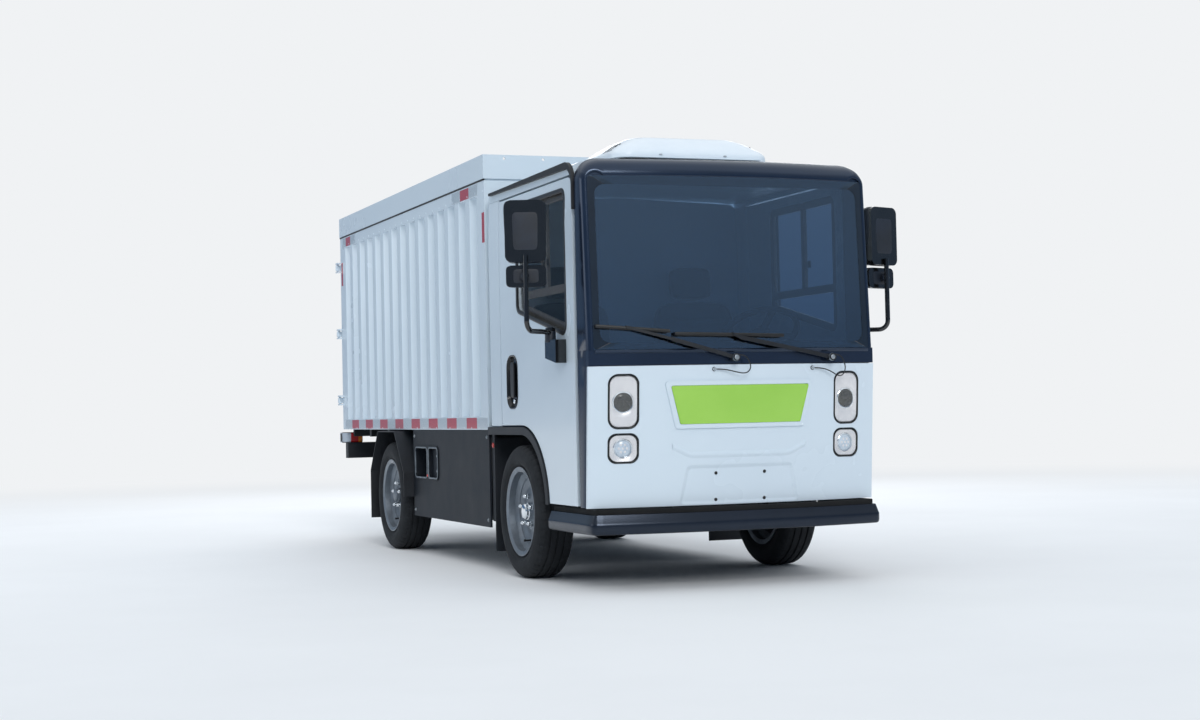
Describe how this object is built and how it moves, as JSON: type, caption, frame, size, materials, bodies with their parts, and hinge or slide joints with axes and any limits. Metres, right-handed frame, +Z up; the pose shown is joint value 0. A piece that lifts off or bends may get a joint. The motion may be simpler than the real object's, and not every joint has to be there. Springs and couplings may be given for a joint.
{
  "type": "garbage truck",
  "caption": "Small electric cab-over garbage truck with a ribbed cargo box, barn doors at the rear, side doors, steered front wheels and a roof air conditioner.",
  "frame": {"origin": "on the ground, at the middle of the truck's length and width", "axes": "+Z up, the cab faces -Y, +X towards the driver's left"},
  "size_m": [1.9278, 4.6974, 2.0559],
  "materials": {
    "body_white": "satin enamel",
    "gloss_black": "gloss",
    "bumper_black": "satin",
    "chassis_black": "satin",
    "skirt_black": "matt, scuffed",
    "battery_case": "matt",
    "cast_alloy": "as cast",
    "cast_iron": "as cast",
    "spring_steel": "satin",
    "wheel_silver": "silver enamel",
    "tyre_rubber": "matt",
    "black_rubber": "satin",
    "hose_black": "satin",
    "wiper_black": "satin",
    "tinted_glass": "polished",
    "side_glass": "polished",
    "badge_green": "gloss",
    "headlamp_clear": "polished",
    "tail_red": "gloss",
    "interior_plastic": "grained",
    "seat_fabric": "woven",
    "unit_white": "satin",
    "mirror_black": "fine grain"
  },
  "bodies": {
    "chassis": {"chassis_frame": "chassis_black", "battery_pack": "battery_case", "drive_motor": "cast_alloy", "front_axle": "chassis_black", "rear_axle": "chassis_black", "leaf_springs": "spring_steel", "cab_floor": "chassis_black", "cab_back_wall": "body_white", "cab_roof": "body_white", "cab_quarter_left": "body_white", "cab_quarter_right": "body_white", "roof_gutters": "black_rubber", "windshield_frame": "gloss_black", "windshield": "tinted_glass", "cowl_panel": "gloss_black", "front_panel": "body_white", "badge_plate": "badge_green", "headlamps": "headlamp_clear", "indicator_lamps": "headlamp_clear", "front_bumper": "bumper_black", "wipers": "wiper_black", "washer_hose_left": "hose_black", "washer_hose_right": "hose_black", "dashboard": "interior_plastic", "seats": "seat_fabric", "roof_air_conditioner": "unit_white", "wheel_arch_trims": "bumper_black", "side_skirts": "skirt_black", "rear_fenders": "skirt_black", "cargo_floor": "chassis_black", "cargo_front_wall": "body_white", "cargo_side_left": "body_white", "cargo_side_right": "body_white", "cargo_roof": "body_white", "cargo_rear_frame": "body_white", "rear_bumper": "skirt_black", "tail_lamps": "tail_red"},
    "knuckle_left": {"knuckle_left": "cast_iron"},
    "knuckle_right": {"knuckle_right": "cast_iron"},
    "wheel_front_left": {"rim_front_left": "wheel_silver", "tyre_front_left": "tyre_rubber"},
    "wheel_front_right": {"rim_front_right": "wheel_silver", "tyre_front_right": "tyre_rubber"},
    "wheel_rear_left": {"rim_rear_left": "wheel_silver", "tyre_rear_left": "tyre_rubber"},
    "wheel_rear_right": {"rim_rear_right": "wheel_silver", "tyre_rear_right": "tyre_rubber"},
    "steering_wheel": {"steering_wheel": "interior_plastic"},
    "door_left": {"door_left": "body_white", "door_glass_left": "side_glass", "mirror_left": "mirror_black"},
    "door_right": {"door_right": "body_white", "door_glass_right": "side_glass", "mirror_right": "mirror_black"},
    "rear_door_left": {"rear_door_left": "body_white"},
    "rear_door_right": {"rear_door_right": "body_white"}
  },
  "joints": [
    {"name": "steer_left", "type": "hinge", "parent": "chassis", "child": "knuckle_left", "pos_m": [0.53, -1.322, 0.3105], "axis": [0, 0, 1], "range_deg": [-32, 32]},
    {"name": "steer_right", "type": "hinge", "parent": "chassis", "child": "knuckle_right", "pos_m": [-0.53, -1.322, 0.3105], "axis": [0, 0, 1], "range_deg": [-32, 32]},
    {"name": "front_left_spin", "type": "hinge", "parent": "knuckle_left", "child": "wheel_front_left", "pos_m": [0.62, -1.322, 0.3105], "axis": [1, 0, 0], "continuous": true},
    {"name": "front_right_spin", "type": "hinge", "parent": "knuckle_right", "child": "wheel_front_right", "pos_m": [-0.62, -1.322, 0.3105], "axis": [1, 0, 0], "continuous": true},
    {"name": "rear_left_spin", "type": "hinge", "parent": "chassis", "child": "wheel_rear_left", "pos_m": [0.635, 0.99, 0.3105], "axis": [1, 0, 0], "continuous": true},
    {"name": "rear_right_spin", "type": "hinge", "parent": "chassis", "child": "wheel_rear_right", "pos_m": [-0.635, 0.99, 0.3105], "axis": [1, 0, 0], "continuous": true},
    {"name": "steering_wheel_turn", "type": "hinge", "parent": "chassis", "child": "steering_wheel", "pos_m": [0.33, -1.786, 1.11], "axis": [0, 0.6, 0.8], "range_deg": [-515, 515]},
    {"name": "door_left_hinge", "type": "hinge", "parent": "chassis", "child": "door_left", "pos_m": [0.68, -2.072, 1], "axis": [0, 0, -1], "range_deg": [0, 68]},
    {"name": "door_right_hinge", "type": "hinge", "parent": "chassis", "child": "door_right", "pos_m": [-0.68, -2.072, 1], "axis": [0, 0, 1], "range_deg": [0, 68]},
    {"name": "rear_door_left_hinge", "type": "hinge", "parent": "chassis", "child": "rear_door_left", "pos_m": [0.7, 2.335, 1.31], "axis": [0, 0, -1], "range_deg": [0, 270]},
    {"name": "rear_door_right_hinge", "type": "hinge", "parent": "chassis", "child": "rear_door_right", "pos_m": [-0.7, 2.335, 1.31], "axis": [0, 0, 1], "range_deg": [0, 270]}
  ],
  "couplings": [
    {"joint": "steer_right", "follows": "steer_left", "ratio": 1},
    {"joint": "steering_wheel_turn", "follows": "steer_left", "ratio": 16}
  ]
}
